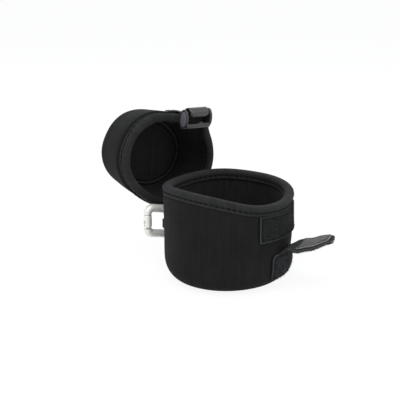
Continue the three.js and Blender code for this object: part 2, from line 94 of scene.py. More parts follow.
# Bindings, thread and pile; stitches are (pitch, length, radius)
BIND_T = 0.8
BIND_H = 6.5
BIND_PINCH = 0.9
BIND_OUT = BIND_PINCH - GAP - BIND_T
BIND_STEPS = 480
SHELL_TOP = BIND_T + 1.0
STITCH_PITCH = 3.7
STITCH_DEPTH = 4.1
STITCH = (STITCH_PITCH, 2.5, 0.47)
LID_STITCH = (STITCH_PITCH, 2.5, 0.47 * 1.25)
SEAM_STITCH = (STITCH_PITCH, 2.5, 0.48)
SMALL_STITCH = (3.0, 2.1, 0.28)
HOOK_STITCH = (2.8, 2.0, 0.26)
TAB_STITCH = (2.6, 1.9, 0.25)
STITCH_LIFT = 0.05
PUCKER = 0.16
FIBRE_R = 0.11
FIBRE_LEAN = 0.9
EDGE_R = 0.5

# Hinge
LID_MOUTH = Vector((9.2, BODY_R + 6.0, BODY_H + 8.1))
LID_OPEN = 89.3
LID_TWIST = 16
LID_ROLL = 25.5
TONGUE_OPEN = 156
TONGUE_SIDE = 14.0
TONGUE_W = 14.0
TONGUE_T = 1.6
LID_FOLD_DEPTH = 8.0

# Strap and patch
STRAP_T = 1.6
STRAP_LENGTH = 34.0
STRAP_RISE = 15.5
STRAP_SIDE = 3.0
STRAP_FOOT_Z = 8.0
STRAP_FOLD_Z = 25.5
STRAP_ROOT_W = 26.0
PATCH_W = 46.0
PATCH_H = 17.5
PATCH_T = 1.2

# Soft strap and its hook tape; pairs are for the near and the far side
STRAP_HALF = 10.4
STRAP_OVERLAP = 0.6
NECK_PINCH = (3.6, 1.4)
TIP_REACH = (15.0, 6.0)
TIP_CUT = (8.4, 6.2)
HOOK_MARGIN = (1.9, 1.5)
HOOK_START = 11.5
HOOK_END = 2.1
HOOK_T = 0.9
HOOK_ROWS = 22
HOOK_COLUMNS = 13
PILE_START = 0.19

# Buckle
BUCKLE_PITCH = 8.4
BUCKLE_BAR_R = 1.6
BUCKLE_PLATE = 1.9
BUCKLE_DEEP = 7.6
BUCKLE_END = 2.6
BUCKLE_SLOT = 21.0
BUCKLE_DROP = 4.5
BUCKLE_TWIST = 18
BUCKLE_SHIFT = 0.5
BUCKLE_LIFT = 1.0
UPPER_ROUND = 1.2
LOWER_OUT = 0.3
LOWER_HALF = 1.6
LOWER_DEEP = 3.3
LOWER_ROUND = 1.1
TAB_SIDE = -2.5
TAB_W = 17.0
TAB_T = 1.1
TAB_ROOT = 9.0
TAB_FOOT_H = 6.0
EYE_SLACK = 0.6

# Clip
ROD_R = 2.8
CLIP_BEARING = radians(4)
CLIP_TURN = radians(155)
CLIP_W = 16.0
SPINE_LOW = 23.0
SPINE_HIGH = 41.0
OUTER_LOW = 26.5
OUTER_HIGH = 44.5
CLIP_CORNER = 3.6
KEEPER_H = 5.6
KEEPER_W = 14.5
KEEPER_T = 0.9
KEEPER_HUMP = 6.0
GATE_GAP = 0.35
PIN_R = 0.8
TANG_T = 1.6
SLOT_W = 1.9
SPRING_R = 0.7
SPRING_WIRE = 0.16
SPRING_TURNS = 5

AROUND = 160
random.seed(7)


# Materials

class Nodes:
    """Adds nodes to a tree; a value that is a socket is linked, any other is set."""

    def __init__(self, tree):
        self.tree = tree

    def fill(self, node, values):
        for key, value in values.items():
            if isinstance(value, bpy.types.NodeSocket):
                self.tree.links.new(value, node.inputs[key])
            else:
                node.inputs[key].default_value = value
        return node

    def add(self, kind, values=None, **settings):
        node = self.tree.nodes.new(kind)
        for key, value in settings.items():
            setattr(node, key, value)
        return self.fill(node, values or {})

    def math(self, operation, a, b=0.0):
        return self.add("ShaderNodeMath", {0: a, 1: b}, operation=operation).outputs[0]

    def plus(self, a, b):
        return self.math("ADD", a, b)

    def times(self, a, b):
        return self.math("MULTIPLY", a, b)

    def noise(self, vector, scale, detail=3.0, roughness=0.55):
        values = {"Vector": vector, "Scale": scale, "Detail": detail, "Roughness": roughness}
        return self.add("ShaderNodeTexNoise", values).outputs["Fac"]

    def stretch(self, vector, scale):
        return self.add("ShaderNodeMapping", {"Vector": vector, "Scale": scale}).outputs[0]

    def range(self, value, low, high, to_low, to_high):
        values = {0: value, 1: low, 2: high, 3: to_low, 4: to_high}
        return self.add("ShaderNodeMapRange", values).outputs[0]


def knit_face(n, place, width):
    """Jersey: columns of loops of a width, with slow streaks."""
    axes = n.add("ShaderNodeSeparateXYZ", {0: place}).outputs
    wobble = n.times(n.noise(n.stretch(place, (0.2, 0.2, 0.2)), 1.0), 0.9)
    across = n.math("DIVIDE", n.plus(axes[0], wobble), width)
    column = n.math("ABSOLUTE", n.math("SINE", n.times(across, pi)))
    along = n.plus(n.times(axes[1], 5.2), n.times(column, 1.6))
    loop = n.times(n.plus(n.math("SINE", along), 1.0), 0.5)
    height = n.plus(n.times(column, 0.7), n.times(loop, 0.3))
    streak = n.noise(n.stretch(place, (0.42, 0.03, 0.1)), 1.0, 4.0)
    cloud = n.noise(n.stretch(place, (0.06, 0.06, 0.06)), 1.0, 2.0)
    shade = n.plus(n.range(streak, 0.3, 0.7, 0.78, 1.2), n.range(cloud, 0.3, 0.7, -0.12, 0.12))
    # The low parts between the loop columns are painted up to 28% darker: painted shade in the gaps
    return height, n.times(shade, n.range(height, 0.0, 0.6, 0.72, 1.0))


def weave_face(n, place, yarn):
    """Plain woven tape: warp and weft floats."""
    axes = n.add("ShaderNodeSeparateXYZ", {0: place}).outputs
    warp = n.math("SINE", n.times(n.math("DIVIDE", axes[0], yarn), pi))
    weft = n.math("SINE", n.times(n.math("DIVIDE", axes[1], yarn), pi))
    height = n.range(n.times(warp, weft), -1.0, 1.0, 0.0, 1.0)
    cloud = n.noise(n.stretch(place, (0.09, 0.09, 0.09)), 1.0, 3.0)
    fine = n.noise(place, 1.3, 3.0)
    shade = n.plus(n.range(cloud, 0.3, 0.7, 0.82, 1.14), n.range(fine, 0.3, 0.7, -0.1, 0.1))
    # Where the floats dip the colour is painted up to 20% darker: painted shade in the weave
    return height, n.times(shade, n.range(height, 0.0, 0.5, 0.8, 1.0))


def pile_face(n, place, scale):
    """Looped pile: small irregular tufts."""
    tuft = n.add("ShaderNodeTexVoronoi", {"Vector": place, "Scale": scale}).outputs["Distance"]
    tangle = n.noise(place, 1.9, 5.0, 0.7)
    height = n.plus(n.range(tuft, 0.0, 0.7, 0.6, 0.0), n.times(tangle, 0.5))
    # The shade follows the tufts' height alone, from a quarter between them to 1.8 on their tops: painted
    # shade between the tufts and painted highlight on them
    return height, n.range(height, 0.15, 0.7, 0.25, 1.8)


def face_group(name, size, face):
    """Node group that gives a cloth's height and shade from a place in millimetres and a size."""
    tree = bpy.data.node_groups.new(name, "ShaderNodeTree")
    tree.interface.new_socket("Vector", in_out="INPUT", socket_type="NodeSocketVector")
    for label, way in ((size, "INPUT"), ("Height", "OUTPUT"), ("Shade", "OUTPUT")):
        tree.interface.new_socket(label, in_out=way, socket_type="NodeSocketFloat")
    n = Nodes(tree)
    source = n.add("NodeGroupInput").outputs
    height, shade = face(n, source["Vector"], source[size])
    n.add("NodeGroupOutput", {"Height": height, "Shade": shade})
    return tree


KNIT = face_group("knit_face", "Column", knit_face)
WEAVE = face_group("tape_weave", "Yarn", weave_face)
PILE = face_group("loop_pile", "Size", pile_face)


def new_material(name):
    material = bpy.data.materials.new(name)
    material.use_nodes = True
    return material, Nodes(material.node_tree), material.node_tree.nodes["Principled BSDF"]


def fabric(name, colour, face, size, bump, sheen, roughness=0.92, gloss=0.12):
    """Cloth whose face group gives its shade, relief and roughness."""
    material, n, shader = new_material(name)
    uv = n.add("ShaderNodeTexCoord").outputs["UV"]
    surface = n.add("ShaderNodeGroup", {"Vector": uv, 1: size}, node_tree=face).outputs
    shade = surface["Shade"]
    grey = n.add("ShaderNodeCombineColor", {0: shade, 1: shade, 2: shade}).outputs[0]
    colours = {0: 1.0, 6: (*colour, 1.0), 7: grey}
    tint = n.add("ShaderNodeMix", colours, data_type="RGBA", blend_type="MULTIPLY")
    relief = n.add("ShaderNodeBump", {"Height": surface["Height"], "Strength": bump, "Distance": 0.0004})
    rough = n.range(surface["Height"], 0.0, 1.0, min(roughness + 0.06, 1.0), roughness - 0.06)
    n.fill(shader, {"Base Color": tint.outputs[2], "Normal": relief.outputs[0], "Roughness": rough,
                    "Sheen Weight": sheen, "Sheen Roughness": 0.45, "Sheen Tint": (0.55, 0.57, 0.6, 1.0),
                    "Specular IOR Level": gloss})
    return material


def hard(name, colour, roughness, metallic, scale, wear):
    """Plastic or metal with slow clouds and fine scratches."""
    material, n, shader = new_material(name)
    place = n.add("ShaderNodeTexCoord").outputs["Object"]
    cloud = n.noise(place, scale, 4.0)
    scratch = n.noise(n.stretch(place, (1.0, 1.0, 0.12)), scale * 9.0, 3.0, 0.6)
    dark = tuple(c * (1.0 - wear) for c in colour)
    colours = {0: n.range(cloud, 0.35, 0.65, 0.0, 1.0), 6: (*dark, 1.0), 7: (*colour, 1.0)}
    tint = n.add("ShaderNodeMix", colours, data_type="RGBA")
    rough = n.plus(n.range(cloud, 0.3, 0.7, roughness - 0.05, roughness + 0.05),
                   n.range(scratch, 0.45, 0.7, 0.0, 0.08))
    relief = n.add("ShaderNodeBump", {"Height": scratch, "Strength": 0.08, "Distance": 0.0002})
    n.fill(shader, {"Base Color": tint.outputs[2], "Roughness": rough, "Normal": relief.outputs[0],
                    "Metallic": metallic})
    return material


KNIT_SHELL = fabric("knit_shell", (0.0078, 0.0078, 0.0079), KNIT, 1.25, 0.5, 0.03)
KNIT_LINING = fabric("knit_lining", (0.0105, 0.0105, 0.0108), KNIT, 0.9, 0.4, 0.03)
# Lid lining and crown cloth: the body's lining jersey painted about 1.7 times lighter, as painted light
# against the shade inside the lid
LID_LINING_PAINTED_LIGHT = fabric("lid_lining_painted_light", (0.0175, 0.0175, 0.018), KNIT, 0.9, 0.4, 0.03)
BINDING = fabric("binding_tape", (0.017, 0.017, 0.0173), KNIT, 0.7, 0.3, 0.06)
WEBBING = fabric("webbing", (0.016, 0.016, 0.0165), WEAVE, 0.75, 0.6, 0.05)
PILE_MAT = fabric("pile_patch", (0.0122, 0.0124, 0.0126), PILE, 1.4, 0.8, 0.06)
STRAP_PILE = fabric("strap_pile", (0.0205, 0.0208, 0.0212), PILE, 1.1, 0.9, 0.06)
FIBRE = fabric("pile_fibre", (0.016, 0.0162, 0.0166), PILE, 1.0, 0.1, 0.06)
HOOKS = fabric("hook_tape", (0.2, 0.2, 0.193), WEAVE, 0.95, 0.9, 0.08, 0.75)
THREAD = fabric("thread", (0.004, 0.004, 0.0042), WEAVE, 0.3, 0.3, 0.0)
FOAM = fabric("foam_pad", (0.03, 0.03, 0.032), PILE, 0.8, 0.5, 0.0)
# Overlock thread colour; the lid's seam tape also takes it in place of the binding colour of the body's
# seam tape, as painted light against the shade inside the lid
EDGING_AND_LIT_SEAM_TAPE = fabric("edging", (0.042, 0.043, 0.044), WEAVE, 0.6, 0.5, 0.08)
COATED = fabric("coated_tape", (0.011, 0.0112, 0.0102), WEAVE, 0.5, 0.06, 0.0, 0.3, 0.7)
PLASTIC = hard("gloss_plastic", (0.019, 0.019, 0.02), 0.24, 0.0, 60.0, 0.3)
CAP_PLASTIC = hard("grey_plastic", (0.078, 0.071, 0.096), 0.42, 0.0, 50.0, 0.25)
METAL = hard("satin_metal", (0.74, 0.74, 0.70), 0.42, 0.3, 90.0, 0.05)


# Mesh helpers

def clamp(x, low=0.0, high=1.0):
    return max(low, min(high, x))


def ease(x):
    x = clamp(x)
    return x * x * (3.0 - 2.0 * x)


def metres(p):
    return tuple(p * MM)


def finish(piece, material, body, nodes):
    """Gives a piece its material and body, and hides the nodes that it stands for."""
    piece.data.materials.append(material)
    if body:
        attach(piece, body)
    if nodes:
        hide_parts(*nodes)
    return piece


def make(name, points, faces, uvs, material, body, nodes=()):
    """One smooth mesh piece from points in millimetres; uvs are per face corner, in millimetres."""
    data = bpy.data.meshes.new(name)
    data.from_pydata([p * MM for p in points], [], faces)
    layer = data.uv_layers.new(name="UVMap")
    layer.data.foreach_set("uv", [c for corners in uvs for uv in corners for c in uv])
    work = bmesh.new()
    work.from_mesh(data)
    bmesh.ops.recalc_face_normals(work, faces=work.faces)
    work.to_mesh(data)
    work.free()
    data.shade_smooth()
    piece = bpy.data.objects.new(name, data)
    bpy.context.collection.objects.link(piece)
    return finish(piece, material, body, nodes)


def skin(rows, base, u, v, ring=False):
    """Faces between rows of closed rings, with uvs from a step round the rings and the rows' places."""
    n = len(rows[0])
    faces = []
    uvs = []
    for i in range(len(rows) if ring else len(rows) - 1):
        low = base + i * n
        high = base + (i + 1) % len(rows) * n
        for j in range(n):
            m = (j + 1) % n
            faces.append((low + j, low + m, high + m, high + j))
            u0 = u * j
            u1 = u * (j + 1)
            uvs.append(((u0, v[i]), (u1, v[i]), (u1, v[i + 1]), (u0, v[i + 1])))
    return faces, uvs


def loft(name, rows, material, body, nodes=(), ring=False):
    """Rows of closed rings; a ring solid closes on its first row, others are capped."""
    n = len(rows[0])
    points = [p for row in rows for p in row]
    lap = max(sum((row[(j + 1) % n] - row[j]).length for j in range(n)) for row in rows)
    v = [0.0]
    for i in range(1, len(rows) + 1):
        v.append(v[-1] + (rows[i % len(rows)][0] - rows[i - 1][0]).length)
    faces, uvs = skin(rows, 0, lap / n, v, ring)
    for start in () if ring else (0, (len(rows) - 1) * n):
        centre = len(points)
        points.append(sum(points[start:start + n], Vector()) / n)
        for j in range(n):
            corners = (centre, start + j, start + (j + 1) % n)
            faces.append(corners)
            uvs.append([(points[c].x, points[c].y + points[c].z) for c in corners])
    return make(name, points, faces, uvs, material, body, nodes)


def many(name, pieces, material, body):
    """Several small capped lofts in one piece."""
    points = []
    faces = []
    uvs = []
    for rows in pieces:
        n = len(rows[0])
        base = len(points)
        points += [p for row in rows for p in row]
        wall_faces, wall_uvs = skin(rows, base, 1, range(len(rows)))
        faces += wall_faces
        uvs += wall_uvs
        for low in (base, base + (len(rows) - 1) * n):
            faces.append(tuple(range(low, low + n)))
            uvs.append([(cos(2 * pi * j / n), sin(2 * pi * j / n)) for j in range(n)])
    return make(name, points, faces, uvs, material, body)


# (share of the length, share of the thickness) at the soft ends of a flat piece
PAD_END = ((0.0, 0.35), (0.012, 0.8), (0.03, 1.0))
PAD_FACE = 0.985


def pad(name, surface, nv, nw, thick, material, body, nodes=()):
    """A flat piece with round edges: surface(v, w, h) with v along, w across (-1 to 1), h above."""
    first = PAD_END[-1][0]
    stops = list(PAD_END) + [(first + (1.0 - 2 * first) * i / nv, 1.0) for i in range(1, nv)]
    stops += [(1.0 - v, t) for v, t in reversed(PAD_END)]
    across = [PAD_FACE * (2 * i / nw - 1.0) for i in range(nw + 1)]
    rows = []
    for v, t in stops:
        h = thick * t / 2
        top = [surface(v, w, h) for w in across]
        low = [surface(v, w, -h) for w in reversed(across)]
        rows.append(top + [surface(v, 1.0, 0.0)] + low + [surface(v, -1.0, 0.0)])
    return loft(name, rows, material, body, nodes)


# (share of the radius, share of the radius outwards) of the rings that dome a tube's end
DOME = [(cos(radians(t)), 0.35 * sin(radians(t))) for t in (75, 45)]


def tube_rows(path, radii, sides, domes=False):
    """Rings round a path that turn as little as they can."""
    angles = [2 * pi * k / sides for k in range(sides)]
    last = len(path) - 1
    side = None
    rows = []
    for i, p in enumerate(path):
        along = (path[min(i + 1, last)] - path[max(i - 1, 0)]).normalized()
        if side is None:
            side = along.orthogonal().normalized()
        side = (side - along * side.dot(along)).normalized()
        other = along.cross(side)
        rings = [(1.0, 0.0)]
        if domes and i == 0:
            rings = [(wide, -out) for wide, out in DOME] + rings
        if domes and i == last:
            rings += reversed(DOME)
        for wide, out in rings:
            centre = p + along * (out * radii[i])
            r = wide * radii[i]
            rows.append([centre + (side * cos(t) + other * sin(t)) * r for t in angles])
    return rows


# (share of the length, share of the radius) along one stitch
STITCH_FORM = ((-0.5, 0.55), (-0.3, 0.9), (0.0, 1.0), (0.3, 0.9), (0.5, 0.55))


def stitches(name, line, body, size):
    """Thread stitches along a closed line of points on the cloth."""
    pitch, length, radius = size
    pts = line + [line[0]]
    run = [0.0]
    for a, b in zip(pts, pts[1:]):
        run.append(run[-1] + (b - a).length)
    count = max(int(round(run[-1] / pitch)), 1)

    def at(s):
        s = clamp(s, 0.0, run[-1])
        for i in range(len(pts) - 1):
            if s <= run[i + 1] or i == len(pts) - 2:
                return pts[i].lerp(pts[i + 1], (s - run[i]) / max(run[i + 1] - run[i], 1e-9))

    pieces = []
    for k in range(count):
        middle = (k + 0.5) * run[-1] / count
        path = [at(middle + length * t) for t, wide in STITCH_FORM]
        pieces.append(tube_rows(path, [radius * wide for t, wide in STITCH_FORM], 6, True))
    return many(name, pieces, THREAD, body)


def fuzz(name, surface, count, length, body, edge):
    """Short bent fibres on surface(v, w, h); edge is the share that stands along its borders."""
    pieces = []
    for _ in range(count):
        v = random.random()
        w = random.uniform(-1.0, 1.0)
        if random.random() < edge:
            if random.random() < 0.6:
                w = random.choice((-1.0, 1.0)) * random.uniform(0.96, 1.0)
            else:
                v = random.choice((0.0, 1.0)) + random.uniform(-0.02, 0.02)
        v = clamp(v)
        foot = surface(v, w, 0.0)
        up = (surface(v, w, 1.0) - foot).normalized()
        lean = Vector((random.uniform(-1, 1), random.uniform(-1, 1), random.uniform(-1, 1))) * FIBRE_LEAN
        grow = length * random.uniform(0.5, 1.15)
        path = [foot, foot + (up + lean * 0.35) * grow * 0.5, foot + (up + lean) * grow * 0.85]
        pieces.append(tube_rows(path, [FIBRE_R, FIBRE_R * 0.8, FIBRE_R * 0.45], 3))
    return many(name, pieces, FIBRE, body)


def traced(surface, corners, height, steps):
    """Points over a piece from corner to corner, without the last."""
    line = []
    for (va, wa), (vb, wb) in zip(corners, corners[1:]):
        for f in (i / steps for i in range(steps)):
            line.append(surface(va + (vb - va) * f, wa + (wb - wa) * f, height))
    return line


def sew(name, surface, inset_v, inset_w, height, body, size):
    """Stitches just inside a piece's four edges."""
    v0, v1 = inset_v, 1.0 - inset_v
    w0, w1 = -1.0 + inset_w, 1.0 - inset_w
    line = traced(surface, [(v0, w0), (v1, w0), (v1, w1), (v0, w1), (v0, w0)], height, 24)
    return stitches(name, line, body, size)


def edging(name, surface, height, body, v_range=(0.0, 1.0)):
    """Overlocked edge: a thread roll down one side of a piece, along its end and up the other side."""
    v0, v1 = v_range
    path = traced(surface, [(v0, -1.0), (v1, -1.0), (v1, 1.0), (v0, 1.0)], height, 60)
    path.append(surface(v0, 1.0, height))
    radii = [EDGE_R * (1.0 + 0.16 * sin(i * 1.9)) for i in range(len(path))]
    return many(name, [tube_rows(path, radii, 8)], EDGING_AND_LIT_SEAM_TAPE, body)


# Body

def rim_wave(x, y):
    return RIM_WAVE * (x * x - y * y) / (x * x + y * y)


def bearing_of(x, y):
    """Degrees from the strap's side towards -X."""
    return degrees(atan2(-x, -y))


def swell(angle, *bumps):
    """Sum of smooth swellings at an angle."""
    total = 0.0
    for size, middle, width in bumps:
        gap = (angle - middle + 180.0) % 360.0 - 180.0
        total += size * exp(-((gap / width) ** 2))
    return total


def rim_z(x, y):
    return BODY_H + RIM_SLOPE * y + rim_wave(x, y) + swell(bearing_of(x, y), *RIM_SETTLE)


def soft(p):
    """Slow dents in the padded wall, alike for every layer."""
    r = hypot(p.x, p.y)
    c = p.x / r
    s = p.y / r
    bearing = bearing_of(p.x, p.y)
    dent = 0.5 * noise.noise(Vector((c * 1.6, s * 1.6, p.z / 30.0))) * ease(p.z / 22.0)
    dent += swell(bearing, SHOULDER) * ease((p.z - SHOULDER_Z) / 5.0)
    dent += swell(bearing, BELLY) * exp(-(((p.z - BELLY_Z) / 7.0) ** 2))
    return Vector((p.x + dent * c, p.y + dent * s, p.z))


def turns(count):
    """Angles round a piece, half a step off the axes."""
    return [2 * pi * (j + 0.5) / count for j in range(count)]


def body_point(inset, t, height):
    """Point inside the wall; height gives its z from the rim's."""
    x = (BODY_R - inset) * cos(t)
    y = (BODY_R - inset) * sin(t)
    return soft(Vector((x, y, height(rim_z(x, y)))))


def body_row(inset, height):
    return [body_point(inset, t, height) for t in turns(AROUND)]


def bottom_rows(offset, t0, t1, n):
    """Rings along the body's round bottom edge."""
    return [body_row(inset, lambda rim: z) for inset, z in rounded(offset, BASE_ROUND, t0, t1, n)]


def body_rim(inset, below, t):
    return body_point(inset, t, lambda rim: rim - below)


def rim_rows(rows):
    """Rings at (inset, distance below the rim)."""
    return [[body_rim(inset, below, t) for t in turns(AROUND)] for inset, below in rows]


def wall_rows(inset, steps, last):
    """Rings from the round bottom up to a distance below the rim."""
    shares = [i / steps for i in range(1, steps + 1)]
    return [body_row(inset, lambda rim: BASE_ROUND + (rim - last - BASE_ROUND) * f) for f in shares]


def base_row(angle):
    """Outer bottom edge, fuller on the side that the pouch leans to."""
    c = abs(cos(radians(angle)))
    s = abs(sin(radians(angle)))
    row = []
    for t in turns(AROUND):
        power = 2.0 + swell(bearing_of(cos(t), sin(t)), *BASE_FULL)
        z = BASE_ROUND * (1.0 - s ** (2.0 / power))
        row.append(body_point(BASE_ROUND * (1.0 - c ** (2.0 / power)), t, lambda rim: z))
    return row


def rounded(offset, corner, t0, t1, n):
    """(inset, height) along a round bottom edge, at an offset inside it, between two angles."""
    angles = [radians(t0 + (t1 - t0) * i / n) for i in range(n + 1)]
    return [(corner - (corner - offset) * cos(t), corner - (corner - offset) * sin(t)) for t in angles]


body_outer = [base_row(90 - 90 * i / 18) for i in range(19)] + wall_rows(0.0, 18, BIND_H + 1.6)
body_outer += rim_rows([(0.12, BIND_H + 0.8), (BIND_PINCH * 0.7, BIND_H + 0.1), (BIND_PINCH, BIND_H - 0.6)])
body_inner = rim_rows([(BIND_PINCH, SHELL_TOP), (SHELL_T, SHELL_TOP), (SHELL_T, BIND_H + 2)])
body_inner += wall_rows(SHELL_T, 6, BIND_H + 2)[::-1][1:]
body_inner += bottom_rows(SHELL_T, 0, 90, 8)
body = loft("pouch_body", body_outer + body_inner, KNIT_SHELL, "pouch", ["body_shell"])

lining_rows = rim_rows([(LINING_OUT, SHELL_TOP)]) + wall_rows(LINING_OUT, 6, BIND_H)[::-1]
lining_rows += bottom_rows(LINING_OUT, 0, 45, 5) + bottom_rows(LINING_IN, 45, 0, 5)
lining_rows += wall_rows(LINING_IN, 12, BIND_H) + rim_rows([(LINING_IN, SHELL_TOP)])
loft("pouch_lining", lining_rows, KNIT_LINING, "pouch", ["body_lining"], ring=True)

pad_rows = bottom_rows(LINING_OUT, 90, 56, 4) + bottom_rows(LINING_OUT + PAD_T, 56, 90, 4)
floor_pad = loft("floor_pad", pad_rows, FOAM, "pouch", ["base_pad"])
floor_rows = bottom_rows(FLOOR_OUT, 90, 44, 6) + bottom_rows(FLOOR_IN, 44, 90, 6)
loft("floor_lining", floor_rows, KNIT_LINING, "pouch", ["base_lining"])
seam_rows = bottom_rows(LINING_IN + GAP, 36, 52, 4) + bottom_rows(FLOOR_OUT - GAP, 52, 36, 4)
loft("floor_seam", seam_rows, BINDING, "pouch", ["base_seam_tape"], ring=True)


# (distance in from the tape's face, distance below the rim), from below the sewn groove up to the top
FOLD = ((0.05, BIND_H - 0.8), (0.02, STITCH_DEPTH + 0.7), (0.62, STITCH_DEPTH), (-0.06, STITCH_DEPTH - 0.8),
        (-0.3, 2.3), (-0.1, 1.1), (0.55, 0.3), (1.5, -0.1))


def binding_profile(outer, inner):
    """Folded tape round a rim between two insets, as (inset, distance below the rim)."""
    profile = [(outer + 0.75, BIND_H + 0.1), (outer + 0.3, BIND_H - 0.1)]
    profile += [(outer + a, depth) for a, depth in FOLD]
    profile.append((outer + 2.7, -0.2))
    profile += [(inner - a, depth) for a, depth in reversed(FOLD)]
    profile += [(inner - 0.3, BIND_H), (inner - 0.75, BIND_H + 0.1)]
    return profile + [(inner - 0.8, 1.6), (outer + 0.8, 1.6)]


def bind_rim(name, thread, rim_point, inner, lap, sink, size, body, node):
    """Binding that puckers between its stitches, with a line of thread sunk in each groove."""
    waves = round(lap / STITCH_PITCH)
    rows = []
    for inset, depth in binding_profile(BIND_OUT, inner):
        pucker = PUCKER * exp(-((depth - STITCH_DEPTH) / 1.6) ** 2)
        if inset >= (BIND_OUT + inner) / 2:
            pucker = -pucker
        rows.append([rim_point(inset + pucker * cos(2 * pi * j / BIND_STEPS * waves), depth, t)
                     for j, t in enumerate(turns(BIND_STEPS))])
    loft(name, rows, BINDING, body, [node], ring=True)
    for label, inset in (("", BIND_OUT + sink), ("_in", inner - sink)):
        line = [rim_point(inset, STITCH_DEPTH, t) for t in turns(BIND_STEPS)]
        stitches(thread + label, line, body, size)


bind_rim("pouch_binding", "pouch_binding_stitch", body_rim, LINING_IN + GAP + BIND_T,
         2 * pi * BODY_R, 0.3, STITCH, "pouch", "body_binding")


# Pieces sewn on the wall

def wall(bearing, across, z, out):
    """Point over the wall and its round bottom edge, at a distance across from a bearing from +Y."""
    t = bearing + across / BODY_R
    drop = max(BASE_ROUND - z, 0.0)
    lean = asin(min(drop / BASE_ROUND, 1.0))
    r = BODY_R - BASE_ROUND + (BASE_ROUND + out) * cos(lean)
    return soft(Vector((-r * sin(t), r * cos(t), z - out * sin(lean))))


FRONT = pi
patch_low = BODY_H - RIM_SLOPE * BODY_R - RIM_WAVE - BIND_H - PATCH_H + 1.5


def patch_surface(v, w, h):
    """Landing patch whose upper edge follows the binding."""
    t = FRONT + w * PATCH_W / 2 / BODY_R
    top = rim_z(-BODY_R * sin(t), BODY_R * cos(t)) - BIND_H + 0.1
    return wall(FRONT, w * PATCH_W / 2, patch_low + (top - patch_low) * v, GAP + PATCH_T / 2 + h)


pad("loop_landing", patch_surface, 10, 30, PATCH_T, PILE_MAT, "pouch", ["loop_patch"])
fuzz("loop_landing_pile", lambda v, w, h: patch_surface(v, w, PATCH_T / 2 - 0.15 + h),
     count=2600, length=0.6, body="pouch", edge=0.08)
sew("loop_landing_stitch", patch_surface, 0.07, 0.05, PATCH_T / 2 + STITCH_LIFT, "pouch", SMALL_STITCH)
edging("loop_landing_edge", patch_surface, 0.15, "pouch", (1.0, 0.0))


def root_surface(v, w, h):
    top = STRAP_FOLD_Z - STRAP_T / 2 - GAP
    z = STRAP_FOOT_Z + (top - STRAP_FOOT_Z) * v
    half = STRAP_ROOT_W / 2 * (1.0 - 0.14 * ease((v - 0.8) / 0.2) ** 2 - 0.16 * ease((0.16 - v) / 0.16))
    return wall(FRONT, w * half, z, GAP + STRAP_T / 2 + h)


pad("strap_foot", root_surface, 10, 20, STRAP_T, STRAP_PILE, "pouch", ["strap_root"])
fuzz("strap_foot_pile", lambda v, w, h: root_surface(v, w, STRAP_T / 2 - 0.2 + h),
     count=1500, length=0.75, body="pouch", edge=0.3)
sew("strap_foot_stitch", root_surface, 0.1, 0.12, STRAP_T / 2 + STITCH_LIFT, "pouch", SMALL_STITCH)
edging("strap_foot_edge", root_surface, 0.3, "pouch")


# Closing strap

rise = radians(STRAP_RISE)
veer = radians(STRAP_SIDE)
strap_start = Vector((0, -(BODY_R + GAP + STRAP_T / 2), STRAP_FOLD_Z))
strap_along = Vector((sin(veer) * cos(rise), -cos(veer) * cos(rise), sin(rise)))
strap_side = Vector((cos(veer), sin(veer), 0))
strap_up = strap_along.cross(strap_side)


def strap_half(s, w):
    """Half width of the soft strap: pinched at its neck, most on the near side, and round at its tip."""
    side = 0 if w < 0 else 1
    neck = NECK_PINCH[side] * exp(-(((s - 3.5) / 5.0) ** 2))
    tip = clamp((s - STRAP_LENGTH) / TIP_REACH[side] + 1.0)
    return STRAP_HALF - neck - TIP_CUT[side] * tip ** 2.2


def strap_point(s, w, h):
    """s along the strap, w across from -1 to 1, h above its middle."""
    f = clamp(s / STRAP_LENGTH)
    twist = radians(5.0 * ease(s / 7.0))
    side = strap_side * cos(twist) + strap_up * sin(twist)
    up = strap_up * cos(twist) - strap_side * sin(twist)
    lift = 2.2 * f * f + 0.5 * sin(pi * f) + 1.2 * exp(-(((s - 7.5) / 4.5) ** 2))
    cup = 0.5 * w * w - 0.25
    ripple = 0.22 * sin(s * 0.55 + 1.0) * w
    line = strap_start + strap_along * s + strap_up * lift
    return line + side * (w * strap_half(s, w)) + up * (h + cup + ripple)


def strap_surface(v, w, h):
    return strap_point(-STRAP_OVERLAP + (STRAP_LENGTH + STRAP_OVERLAP) * v, w, h)


def hook_surface(v, w, h):
    s = HOOK_START + (STRAP_LENGTH - HOOK_END - HOOK_START) * v
    half = strap_half(s, w)
    inner = (half - HOOK_MARGIN[0 if w < 0 else 1]) / half
    return strap_point(s, w * inner, STRAP_T / 2 + GAP + HOOK_T / 2 + h)


flap = pad("closing_strap", strap_surface, 44, 14, STRAP_T, STRAP_PILE, None, ["strap_flap"])
metres(strap_point(-0.4, 0, 0))
metres(strap_point(4.6, 0, 0))
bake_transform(flap)
fuzz("closing_strap_pile",
     lambda v, w, h: strap_surface(PILE_START + (1.0 - PILE_START) * v, w, -STRAP_T / 2 - h),
     count=1300, length=0.6, body="strap", edge=0.35)
edging("closing_strap_edge", strap_surface, 0.3, "strap", (PILE_START, 1.0))
pad("hook_tape", hook_surface, 20, 14, HOOK_T, HOOKS, "strap", ["hook_panel"])
sew("hook_tape_stitch", hook_surface, 0.05, 0.1, 0.48, "strap", HOOK_STITCH)

hook_pieces = []
for row in range(HOOK_ROWS):
    for column in range(HOOK_COLUMNS):
        v = 0.05 + 0.9 * row / (HOOK_ROWS - 1)
        w = -0.86 + 1.72 * column / (HOOK_COLUMNS - 1)
        path = [hook_surface(v, w, 0.35), hook_surface(v, w, 1.0), hook_surface(v + 0.012, w, 0.85)]
        hook_pieces.append(tube_rows(path, [0.12, 0.11, 0.07], 4))
many("hook_tape_hooks", hook_pieces, HOOKS, "strap")


# Lid placed open on its two folds

